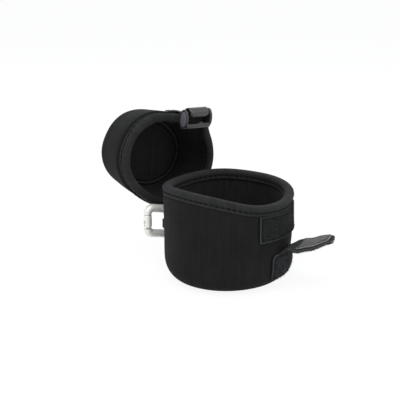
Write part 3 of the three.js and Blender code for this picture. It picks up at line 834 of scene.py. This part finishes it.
def turn(axis, angle):
    return Matrix.Rotation(radians(angle), 3, axis)


slope = turn("X", degrees(atan(RIM_SLOPE)))
lid_origin = Vector((0, -2.0, BODY_H + 1.0))
fold_y = LID_B + LID_BULGE + TONGUE_T / 2 + GAP
fold_on_lid = Vector((TONGUE_SIDE, fold_y, LID_FOLD_DEPTH * (1 + LID_SLANT)))
lid_fold = slope @ fold_on_lid + lid_origin
opened = turn("Z", -LID_TWIST) @ turn("X", -LID_OPEN) @ turn("Z", LID_ROLL)
lid_turn = opened @ slope


def lid_place(p):
    return LID_MOUTH + lid_turn @ p


def lid_soft(p):
    """Slow dents and a slack crown, alike for every layer."""
    r = max(hypot(p.x, p.y), 1e-6)
    c = p.x / r
    s = p.y / r
    polar = degrees(atan2(p.y, p.x))
    dent = 0.7 * noise.noise(Vector((c * 1.5 + 4.0, s * 1.5, p.z / 22.0))) * ease((p.z - 6.0) / 10.0)
    dent += swell(polar, *LID_MOUTH_SWELL) * (1.0 - ease(p.z / 24.0))
    dent += swell(polar, *LID_SIDE_SWELL) * ease((p.z - 6.0) / 12.0)
    puff = CROWN_PUFF * ease(p.z / LID_DEPTH) * exp(-((r / 30.0) ** 2))
    return Vector((p.x + dent * c, p.y + dent * s, p.z + puff))


def lid_point(inset, depth, t):
    """Point inside the oval wall, at a depth from the mouth."""
    c = cos(t)
    s = sin(t)
    x = copysign(abs(c) ** (2 / LID_POWER), c) * (LID_A - inset)
    y = copysign(abs(s) ** (2 / LID_POWER), s) * (LID_B - inset)
    z = depth * (1 + LID_SLANT * y / LID_B) + rim_wave(x, y) * (1 - depth / LID_DEPTH)
    return lid_place(lid_soft(Vector((x, y, z))))


def lid_row(inset, depth, count=AROUND):
    return [lid_point(inset, depth, t) for t in turns(count)]


def lid_rows(rows):
    return [lid_row(*row) for row in rows]


def lid_round(offset, t0, t1, n):
    profile = rounded(offset, LID_ROUND, t0, t1, n)
    return [(inset + LID_TAPER - LID_BULGE, LID_DEPTH - h) for inset, h in profile]


WALL_START = BIND_H + 1.4
WALL_LENGTH = LID_DEPTH - LID_ROUND - WALL_START


def lid_wall(offset, steps):
    """Wall that leans in from the binding to the round edge of the crown."""
    shares = [i / steps for i in range(steps)]
    return [(offset - LID_BULGE + LID_TAPER * f, WALL_START + WALL_LENGTH * f) for f in shares]


lid_outer = lid_round(0.0, 90, 0, 16) + lid_wall(0.0, 8)[::-1]
lid_outer += [(-LID_BULGE * 0.55, BIND_H + 0.9), (BIND_PINCH * 0.4, BIND_H + 0.4)]
lid_outer += [(BIND_PINCH, BIND_H - 0.4)]
lid_inner = [(BIND_PINCH, SHELL_TOP), (LID_SHELL_T, SHELL_TOP)] + lid_wall(LID_SHELL_T, 4)
lid_inner += lid_round(LID_SHELL_T, 0, 90, 8)
lid_body = loft("lid_cap", lid_rows(lid_outer + lid_inner), KNIT_SHELL, "lid", ["lid_shell"])

lid_lining = [(LID_LINING_OUT, SHELL_TOP)] + lid_wall(LID_LINING_OUT, 4)
lid_lining += lid_round(LID_LINING_OUT, 0, 45, 5) + lid_round(LID_LINING_IN, 45, 0, 5)
lid_lining += lid_wall(LID_LINING_IN, 8)[::-1] + [(LID_LINING_IN, SHELL_TOP)]
# The lid's lining and crown cloth take the lining jersey painted lighter: painted light against the shade
# inside the lid
loft("lid_lining_cloth", lid_rows(lid_lining), LID_LINING_PAINTED_LIGHT, "lid", ["lid_lining"], ring=True)

crown_rows = lid_round(LID_LINING_OUT, 90, 56, 4) + lid_round(LID_LINING_OUT + LID_PAD_T, 56, 90, 4)
crown = loft("crown_foam", lid_rows(crown_rows), FOAM, "lid", ["crown_pad"])
cloth_rows = lid_round(CROWN_OUT, 90, 44, 6) + lid_round(CROWN_IN, 44, 90, 6)
loft("crown_cloth", lid_rows(cloth_rows), LID_LINING_PAINTED_LIGHT, "lid", ["crown_lining"])
# The lid's seam tape is painted in the lighter edging colour: painted light against the shade inside the
# lid
tape_rows = lid_round(LID_LINING_IN + GAP, 36, 52, 4) + lid_round(CROWN_OUT - GAP, 52, 36, 4)
loft("crown_seam", lid_rows(tape_rows), EDGING_AND_LIT_SEAM_TAPE, "lid", ["lid_seam_tape"], ring=True)
for label, offset, angle in (("a", LID_LINING_IN + 0.25, 30), ("b", CROWN_IN + 0.2, 58)):
    inset, depth = lid_round(offset, angle, angle, 1)[0]
    stitches("crown_seam_stitch_" + label, lid_row(inset, depth, 300), "lid", SEAM_STITCH)
bind_rim("lid_rim_binding", "lid_binding_stitch", lid_point, LID_LINING_IN + GAP + BIND_T,
         pi * (LID_A + LID_B), 0.2, LID_STITCH, "lid", "lid_binding")


# Tongue between body and lid, in two lengths that meet on the folded tongue

def spline(points, steps):
    """Smooth line through points."""
    out = []
    ends = [points[0] * 2 - points[1]] + points + [points[-1] * 2 - points[-2]]
    for i in range(1, len(ends) - 2):
        a, b, c, d = ends[i - 1:i + 3]
        for k in range(steps):
            t = k / steps
            out.append(0.5 * (b * 2 + (c - a) * t + (a * 2 - b * 5 + c * 4 - d) * t * t
                              + (b * 3 - a - c * 3 + d) * t ** 3))
    return out + [points[-1]]


lid_open_at = lid_place(fold_on_lid)
swing = lid_open_at - lid_fold
tongue_axis = Vector((-1, 0, 0))
tongue_axis = (tongue_axis - swing * (tongue_axis.dot(swing) / swing.length_squared)).normalized()
fold_out = 0.5 / tan(radians(TONGUE_OPEN / 2))
fold_point = (lid_fold + lid_open_at) / 2 + tongue_axis.cross(swing) * fold_out
anchor_top = fold_point.z - 1.0


def lid_wall_y(x, z, side):
    """Outer face of the leaning lid wall at the hinge (side 1) or at the buckle (side -1)."""
    depth = (z + RIM_WAVE) / (1 + side * LID_SLANT + RIM_WAVE / LID_DEPTH)
    lean = max((depth - WALL_START) / WALL_LENGTH, 0.0)
    inset = LID_TAPER * lean - LID_BULGE
    return side * (LID_B - inset) * (1 - abs(x / (LID_A - inset)) ** LID_POWER) ** (1 / LID_POWER)


def sewn_body(x, up, out):
    return wall(0.0, -TONGUE_SIDE - x, anchor_top + GAP + up, GAP + TONGUE_T / 2 + out)


def sewn_lid(x, z):
    y = lid_wall_y(TONGUE_SIDE + x, z, 1) + TONGUE_T / 2 + GAP * 2
    return lid_place(Vector((TONGUE_SIDE + x, y, z)))


def tongue_line(x):
    """Line of the slack tongue from its foot on the body, under the rim of the lid, up the lid's wall."""
    start = sewn_body(x, 0, 0)
    under = sewn_lid(x, -RIM_WAVE - 1.6)
    stops = [
        start,
        sewn_body(x, 1.4, 0.2),
        sewn_body(x, 2.2, 1.8),
        sewn_body(x, -1.5, 3.2),
        start.lerp(under, 0.6) + Vector((0, 0.6, 0)),
        under + Vector((0, 0, -1.2)),
        sewn_lid(x, 1.0),
        sewn_lid(x, LID_FOLD_DEPTH),
        sewn_lid(x, LID_FOLD_DEPTH + 6),
    ]
    return spline(stops, 6)


TONGUE_LINES = [tongue_line((i / 8 - 0.5) * TONGUE_W) for i in range(9)]


def on_lines(lines, v, w, h):
    """Point over a sheet given by side-by-side lines."""
    n = len(lines) - 1
    m = len(lines[0]) - 1
    a = clamp((w + 1) / 2 * n, 0, n - 1e-6)
    b = clamp(v * m, 0, m - 1e-6)
    i, j = int(a), int(b)
    p00, p01 = lines[i][j], lines[i][j + 1]
    p10, p11 = lines[i + 1][j], lines[i + 1][j + 1]
    fa, fb = a - i, b - j
    point = p00.lerp(p01, fb).lerp(p10.lerp(p11, fb), fa)
    up = ((p01 - p00).lerp(p11 - p10, fa)).cross((p10 - p00).lerp(p11 - p01, fb)).normalized()
    return point + up * h


def strip(name, lines, v0, v1, nv, thick, material, nodes=()):
    """Part of a sheet between two shares of its lines, attached to no body."""
    def surface(v, w, h):
        return on_lines(lines, v0 + (v1 - v0) * v, w, h)

    return pad(name, surface, nv, 10, thick, material, None, nodes)


lower = strip("tongue_at_body", TONGUE_LINES, 0.0, 0.52, 18, TONGUE_T, KNIT_SHELL, ["hinge_tongue"])
metres(sewn_body(0, 0, 0.4))
metres(sewn_body(0, 0, 1.9))
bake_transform(lower)
upper = strip("tongue_at_lid", TONGUE_LINES, 0.5, 1.0, 18, TONGUE_T, KNIT_SHELL)
metres(on_lines(TONGUE_LINES, 0.58, 0, 0))
metres(on_lines(TONGUE_LINES, 0.8, 0, 0))
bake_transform(upper)

ANCHOR_H = 8.0


def anchor_surface(v, w, h):
    z = anchor_top - ANCHOR_H * (1 - v)
    return wall(-TONGUE_SIDE / BODY_R, w * TONGUE_W / 2, z, GAP + TONGUE_T / 2 + h)


pad("tongue_foot", anchor_surface, 8, 14, TONGUE_T, KNIT_SHELL, "pouch", ["hinge_anchor"])
sew("tongue_foot_stitch", anchor_surface, 0.2, 0.16, TONGUE_T / 2 + STITCH_LIFT, "pouch", SMALL_STITCH)


# Hard pieces: shaped on their own axes in millimetres, then set in the frame

def begin(piece=None):
    """Leaves one piece selected, or none."""
    bpy.ops.object.select_all(action="DESELECT")
    if piece:
        piece.select_set(True)
        bpy.context.view_layer.objects.active = piece


def edit():
    """Fixes the new piece's place and size and opens it for editing."""
    bpy.ops.object.transform_apply()
    bpy.ops.object.mode_set(mode="EDIT")


def end_edit():
    bpy.ops.object.mode_set(mode="OBJECT")
    return bpy.context.object


def pick(kind, test):
    """Selects the faces or edges of the piece being edited that pass a test."""
    bpy.ops.mesh.select_mode(type=kind)
    bpy.ops.mesh.select_all(action="DESELECT")
    mesh = bpy.context.object.data
    work = bmesh.from_edit_mesh(mesh)
    for item in work.faces if kind == "FACE" else work.edges:
        item.select_set(test(item))
    bmesh.update_edit_mesh(mesh)


def soften(test, offset, segments):
    """Rounds the edges that pass a test."""
    pick("EDGE", test)
    bpy.ops.mesh.bevel(offset=offset, segments=segments)


def in_plane(axis, value):
    """Test for the edges that lie in one plane."""
    return lambda edge: all(abs(v.co[axis] - value) < 0.01 for v in edge.verts)


def run_along(edge, axis):
    return abs(edge.verts[0].co[axis] - edge.verts[1].co[axis])


def drum(radius, depth, place, axis, sides):
    """Closed cylinder along an axis, left in edit mode."""
    begin()
    bpy.ops.mesh.primitive_cylinder_add(vertices=sides, radius=radius, depth=depth)
    turned = {"X": ("Y", 90), "Y": ("X", 90), "Z": ("Z", 0)}[axis]
    bpy.context.object.rotation_euler = turn(*turned).to_euler()
    bpy.context.object.location = place
    edit()


def block(size, place):
    """Closed cuboid, left in edit mode."""
    begin()
    bpy.ops.mesh.primitive_cube_add(size=1.0, location=place, scale=size)
    edit()


def set_in(pieces, name, seat, material, body, nodes=()):
    """Joins the shaped parts, sets them in the frame and gives them their finish."""
    begin(pieces[0])
    for part in pieces[1:]:
        part.select_set(True)
    if len(pieces) > 1:
        bpy.ops.object.join()
    piece = pieces[0]
    piece.matrix_world = Matrix.Scale(MM, 4) @ seat
    bpy.ops.object.transform_apply()
    bpy.ops.object.shade_smooth_by_angle(angle=radians(38))
    piece.name = name
    piece.data.name = name
    return finish(piece, material, body, nodes)


# Buckle and its tab

front_wall = -(LID_B + LID_BULGE + GAP + TAB_T / 2)
buckle_pivot = Vector((TAB_SIDE - BUCKLE_SHIFT, front_wall - BUCKLE_BAR_R, -RIM_WAVE - BUCKLE_DROP))
buckle_pivot += lid_turn.transposed() @ Vector((0, 0, BUCKLE_LIFT))
buckle_turn = turn("Z", -BUCKLE_TWIST - 3) @ turn("Y", -4)

RAIL_HALF = BUCKLE_PITCH / 2 + BUCKLE_END
RAIL_DEEP = BUCKLE_DEEP / 2
RAIL_OUT = BUCKLE_SLOT / 2 + BUCKLE_PLATE


def oval(inner, outer, scale, sign):
    """Oval drum between two distances along the bars, left in edit mode."""
    drum(1.0, outer - inner, (sign * (inner + outer) / 2, 0, 0), "X", 48)
    bpy.ops.mesh.select_all(action="SELECT")
    bpy.ops.transform.resize(value=(1.0, RAIL_HALF * scale, RAIL_DEEP * scale), center_override=(0, 0, 0))
    bpy.ops.transform.translate(value=(0, BUCKLE_PITCH / 2, 0))


def rail(sign):
    """End plate with soft edges and a shallow recess in its outer face."""
    oval(BUCKLE_SLOT / 2, RAIL_OUT, 1.0, sign)
    soften(in_plane(0, sign * BUCKLE_SLOT / 2), 0.5, 4)
    soften(in_plane(0, sign * RAIL_OUT), 0.4, 4)
    pick("FACE", lambda face: sign * face.calc_center_median().x > RAIL_OUT - 0.01)
    bpy.ops.mesh.inset(thickness=0.35)
    bpy.ops.mesh.extrude_region_move(TRANSFORM_OT_translate={"value": (-0.5 * sign, 0, 0)})
    return end_edit()


def rail_cap(sign):
    """Dull oval face set in a rail's recess."""
    face = RAIL_OUT - 0.08
    oval(RAIL_OUT - 0.9, face, 0.77, sign)
    soften(in_plane(0, sign * face), 0.3, 3)
    return end_edit()


def bar(y, wide, deep, soft_edge):
    """Bar between the plates with round long edges."""
    block((BUCKLE_SLOT + 0.8, wide * 2, deep * 2), (0, y, 0))
    soften(lambda edge: run_along(edge, 0) > 1.0, soft_edge, 6)
    return end_edit()


buckle_seat = Matrix.Translation(lid_place(buckle_pivot)) @ (lid_turn @ buckle_turn).to_4x4()
upper_bar = bar(0.0, BUCKLE_BAR_R, BUCKLE_BAR_R, UPPER_ROUND)
lower_bar = bar(BUCKLE_PITCH + LOWER_OUT, LOWER_HALF, LOWER_DEEP, LOWER_ROUND)
set_in([rail(1), rail(-1), upper_bar, lower_bar], "strap_buckle", buckle_seat,
       PLASTIC, "buckle", ["buckle_loop"])
set_in([rail_cap(1), rail_cap(-1)], "buckle_end_faces", buckle_seat, CAP_PLASTIC, "buckle")


def tab_foot(v, w, h):
    x = TAB_SIDE + w * TAB_W / 2
    z = TAB_ROOT + GAP + TAB_FOOT_H * v
    return lid_place(lid_soft(Vector((x, lid_wall_y(x, z, -1) - 0.1 - TAB_T / 2 - h, z))))


pad("tab_foot", tab_foot, 6, 10, TAB_T * 0.7, COATED, "lid", ["tab_root"])
sew("tab_foot_stitch", tab_foot, 0.2, 0.14, TAB_T * 0.35 + STITCH_LIFT, "lid", TAB_STITCH)

EYE_R = BUCKLE_BAR_R + GAP + TAB_T / 2 + EYE_SLACK


def tab_line(x):
    """Line of the tab from its foot, over the binding, to the eye round the buckle's bar."""
    def on_face(z):
        return lid_soft(Vector((TAB_SIDE + x, lid_wall_y(TAB_SIDE + x, z, -1) - GAP - TAB_T / 2, z)))

    end = buckle_pivot + buckle_turn @ Vector((x, 0, 0)) + Vector((0, 0, EYE_R))
    over = on_face(2.2 - RIM_WAVE)
    stops = [on_face(TAB_ROOT), on_face(TAB_ROOT / 2), over, over.lerp(end, 0.55), end]
    return [lid_place(p) for p in spline(stops, 5)]


TAB_LINES = [tab_line((i / 6 - 0.5) * TAB_W) for i in range(7)]
strip_low = strip("tab_strip_low", TAB_LINES, 0.0, 0.56, 8, TAB_T, COATED, ["buckle_tab"])
metres(on_lines(TAB_LINES, 0.02, 0, 0))
metres(on_lines(TAB_LINES, 0.3, 0, 0))
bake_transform(strip_low)
strip_high = strip("tab_strip_high", TAB_LINES, 0.54, 1.0, 8, TAB_T, COATED)
metres(on_lines(TAB_LINES, 0.62, 0, 0))
metres(on_lines(TAB_LINES, 0.95, 0, 0))
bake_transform(strip_high)

eye_rows = []
for radius, flip in ((EYE_R + TAB_T / 2, 1), (EYE_R - TAB_T / 2, -1)):
    for k in range(9):
        x = flip * (k / 8 - 0.5) * TAB_W
        eye_rows.append([buckle_seat @ Vector((x, radius * cos(t), -radius * sin(t)))
                         for t in (2 * pi * i / 28 for i in range(28))])
loft("tab_eye", eye_rows, COATED, "buckle", ring=True)


# Clip and its keeper

spine_out = GAP + ROD_R + 0.6
keeper_z = SPINE_LOW + CLIP_CORNER + 1.2


def keeper_surface(v, w, h):
    across = (v - 0.5) * KEEPER_W
    hump = cos(pi / 2 * min(abs(across) / KEEPER_HUMP, 1.0)) ** 1.3
    lift = hump * (spine_out + ROD_R + 0.1)
    return wall(CLIP_BEARING, across, keeper_z + KEEPER_H * (w + 1) / 2, GAP + lift + KEEPER_T / 2 + h)


pad("clip_band", keeper_surface, 40, 10, KEEPER_T, WEBBING, "pouch", ["clip_keeper"])

spine_r = BODY_R + spine_out
spine = Vector((-spine_r * sin(CLIP_BEARING), spine_r * cos(CLIP_BEARING), 0))


def bend_reach(rise):
    """Length that a bend takes from the outer side, for an end bar that rises towards it."""
    return CLIP_CORNER / tan(pi / 4 - atan2(rise, CLIP_W) / 2)


gate_low = OUTER_LOW + bend_reach(SPINE_LOW - OUTER_LOW) + 0.5
gate_high = OUTER_HIGH - bend_reach(OUTER_HIGH - SPINE_HIGH) - 0.5
pin_z = gate_low + ROD_R
clip_seat = Matrix.Translation(spine) @ Matrix.Rotation(CLIP_TURN, 4, "Z")


def bent_rod():
    """Round rod drawn straight and spun at each corner, from above the gate round to below it."""
    corners = [Vector((x, 0, z)) for x, z in (
        (CLIP_W, gate_high + GATE_GAP), (CLIP_W, OUTER_HIGH), (0, SPINE_HIGH), (0, SPINE_LOW),
        (CLIP_W, OUTER_LOW), (CLIP_W, gate_low - GATE_GAP))]
    begin()
    bpy.ops.mesh.primitive_circle_add(vertices=24, radius=ROD_R, fill_type="NGON", location=corners[0])
    edit()
    bpy.ops.mesh.select_mode(type="FACE")
    bpy.ops.mesh.select_all(action="SELECT")
    at = corners[0]
    for before, corner, after in zip(corners, corners[1:], corners[2:]):
        back = (before - corner).normalized()
        ahead = (after - corner).normalized()
        half = back.angle(ahead) / 2
        reach = CLIP_CORNER / tan(half)
        bpy.ops.mesh.extrude_region_move(TRANSFORM_OT_translate={"value": corner + back * reach - at})
        centre = corner + (back + ahead).normalized() * (CLIP_CORNER / sin(half))
        bpy.ops.mesh.spin(steps=14, angle=pi - 2 * half, center=centre, axis=back.cross(ahead))
        at = corner + ahead * reach
    bpy.ops.mesh.extrude_region_move(TRANSFORM_OT_translate={"value": corners[-1] - at})
    bpy.ops.mesh.select_all(action="SELECT")
    bpy.ops.mesh.normals_make_consistent()
    return end_edit()


def across_pin(edge):
    """Test for the round edges of a drum on the gate's pin."""
    return run_along(edge, 1) < 0.01


def tang():
    """Flat eye on the rod's lower end that stands in the gate's slot."""
    eye_r = ROD_R * 0.78
    drum(eye_r, TANG_T, (CLIP_W, 0, pin_z), "Y", 32)
    soften(across_pin, 0.12, 2)
    eye = end_edit()
    block((eye_r * 2, TANG_T - 0.1, pin_z - gate_low + 1.2), (CLIP_W, 0, (pin_z + gate_low - 1.2) / 2))
    return [eye, end_edit()]


def gate_body():
    """Round gate with a domed foot, a soft top and a slot for the tang."""
    foot = pin_z - ROD_R * 0.985
    drum(ROD_R, gate_high - foot, (CLIP_W, 0, (gate_high + foot) / 2), "Z", 32)
    soften(in_plane(2, foot), ROD_R * 0.8, 8)
    soften(in_plane(2, gate_high), 0.8, 3)
    gate = end_edit()
    slot_top = pin_z + ROD_R
    block((ROD_R * 4, SLOT_W, slot_top - foot + 2.0), (CLIP_W, 0, (slot_top + foot - 2.0) / 2))
    cutter = end_edit()
    begin(gate)
    slotted = gate.modifiers.new("slot", "BOOLEAN")
    slotted.operation = "DIFFERENCE"
    slotted.object = cutter
    bpy.ops.object.modifier_apply(modifier="slot")
    bpy.data.objects.remove(cutter, do_unlink=True)
    return gate


def rivet():
    drum(PIN_R, 2 * (ROD_R + 0.12), (CLIP_W, 0, pin_z), "Y", 20)
    soften(across_pin, 0.14, 2)
    return end_edit()


set_in([bent_rod()] + tang(), "clip_rod", clip_seat, METAL, "clip", ["clip_frame"])
set_in([gate_body()], "clip_latch", clip_seat, METAL, "gate", ["clip_gate"])
set_in([rivet()], "latch_rivet", clip_seat, METAL, "gate", ["gate_rivet"])
coil = []
for i in range(14 * SPRING_TURNS):
    t = 2 * pi * i / 14
    z = pin_z + ROD_R + 0.4 + t * 0.055
    coil.append(clip_seat @ Vector((CLIP_W + SPRING_R * cos(t), SPRING_R * sin(t), z)))
wire = tube_rows(coil, [SPRING_WIRE] * len(coil), 6, True)
loft("latch_spring", wire, METAL, "gate", ["gate_spring"])


# Floor, light and camera

def backdrop_factor(n):
    """1 where a camera, mirror or glass ray looks at the background."""
    path = n.add("ShaderNodeLightPath").outputs
    seen = n.plus(path["Is Camera Ray"], path["Is Glossy Ray"])
    return n.math("MINIMUM", n.plus(seen, path["Is Transmission Ray"]), 1.0)


bpy.ops.mesh.primitive_plane_add(size=6.0, location=(0, 0, -0.0004))
floor = bpy.context.object
floor.name = "studio_floor"
white, n, shader = new_material("pale_floor")
n.fill(shader, {"Base Color": (0.9, 0.9, 0.9, 1.0), "Roughness": 1.0, "Specular IOR Level": 0.0})
glow = n.add("ShaderNodeEmission", {"Color": (1, 1, 1, 1), "Strength": 1.0})
lit = n.times(backdrop_factor(n), 0.9)
mixed = n.add("ShaderNodeMixShader", {0: lit, 1: shader.outputs[0], 2: glow.outputs[0]})
n.fill(white.node_tree.nodes["Material Output"], {0: mixed.outputs[0]})
floor.data.materials.append(white)

world = bpy.data.worlds.new("studio")
bpy.context.scene.world = world
world.use_nodes = True
n = Nodes(world.node_tree)
sky = n.fill(world.node_tree.nodes["Background"], {"Color": (0.92, 0.96, 1.0, 1.0), "Strength": 0.92})
plain = n.add("ShaderNodeBackground", {"Color": (1, 1, 1, 1), "Strength": 1.0})
seen = n.add("ShaderNodeMixShader", {0: backdrop_factor(n), 1: sky.outputs[0], 2: plain.outputs[0]})
n.fill(world.node_tree.nodes["World Output"], {0: seen.outputs[0]})


def area_light(name, place, aim, size, power, colour):
    lamp = bpy.data.lights.new(name, "AREA")
    lamp.shape = "DISK"
    lamp.size = size
    lamp.energy = power
    lamp.color = colour
    item = bpy.data.objects.new(name, lamp)
    item.location = place
    item.rotation_euler = (Vector(aim) - Vector(place)).to_track_quat("-Z", "Y").to_euler()
    bpy.context.collection.objects.link(item)


area_light("key", (-0.55, -0.1, 0.9), (0, 0.01, 0.05), 0.7, 6.0, (1.0, 0.99, 0.97))
area_light("fill", (0.2, -0.9, 0.55), (0, 0, 0.04), 0.8, 3.0, (0.97, 0.98, 1.0))
area_light("back", (0.3, 0.8, 0.7), (0, 0.03, 0.05), 0.6, 3.0, (0.95, 0.97, 1.0))

# Lens and shift in pixels of the picture's width, distance in metres
IMAGE_PX = 400.0
FOCAL_PX = 891.0
SHIFT_PX = (-27.5, 25.9)
SENSOR = 36.0
DISTANCE = 0.6
AZIMUTH = radians(-60.0)
ELEVATION = radians(17.6)
TARGET = Vector((0, 0, 0.035))
level = cos(ELEVATION)
back = Vector((sin(AZIMUTH) * level, -cos(AZIMUTH) * level, sin(ELEVATION)))
eye = bpy.data.cameras.new("view")
eye.sensor_width = SENSOR
eye.lens = FOCAL_PX / IMAGE_PX * SENSOR
eye.shift_x = SHIFT_PX[0] / IMAGE_PX
eye.shift_y = SHIFT_PX[1] / IMAGE_PX
eye.clip_end = 20.0
camera = bpy.data.objects.new("view", eye)
camera.location = TARGET + back * DISTANCE
camera.rotation_euler = (-back).to_track_quat("-Z", "Y").to_euler()
bpy.context.collection.objects.link(camera)
bpy.context.scene.camera = camera
bpy.context.scene.view_settings.view_transform = "Standard"
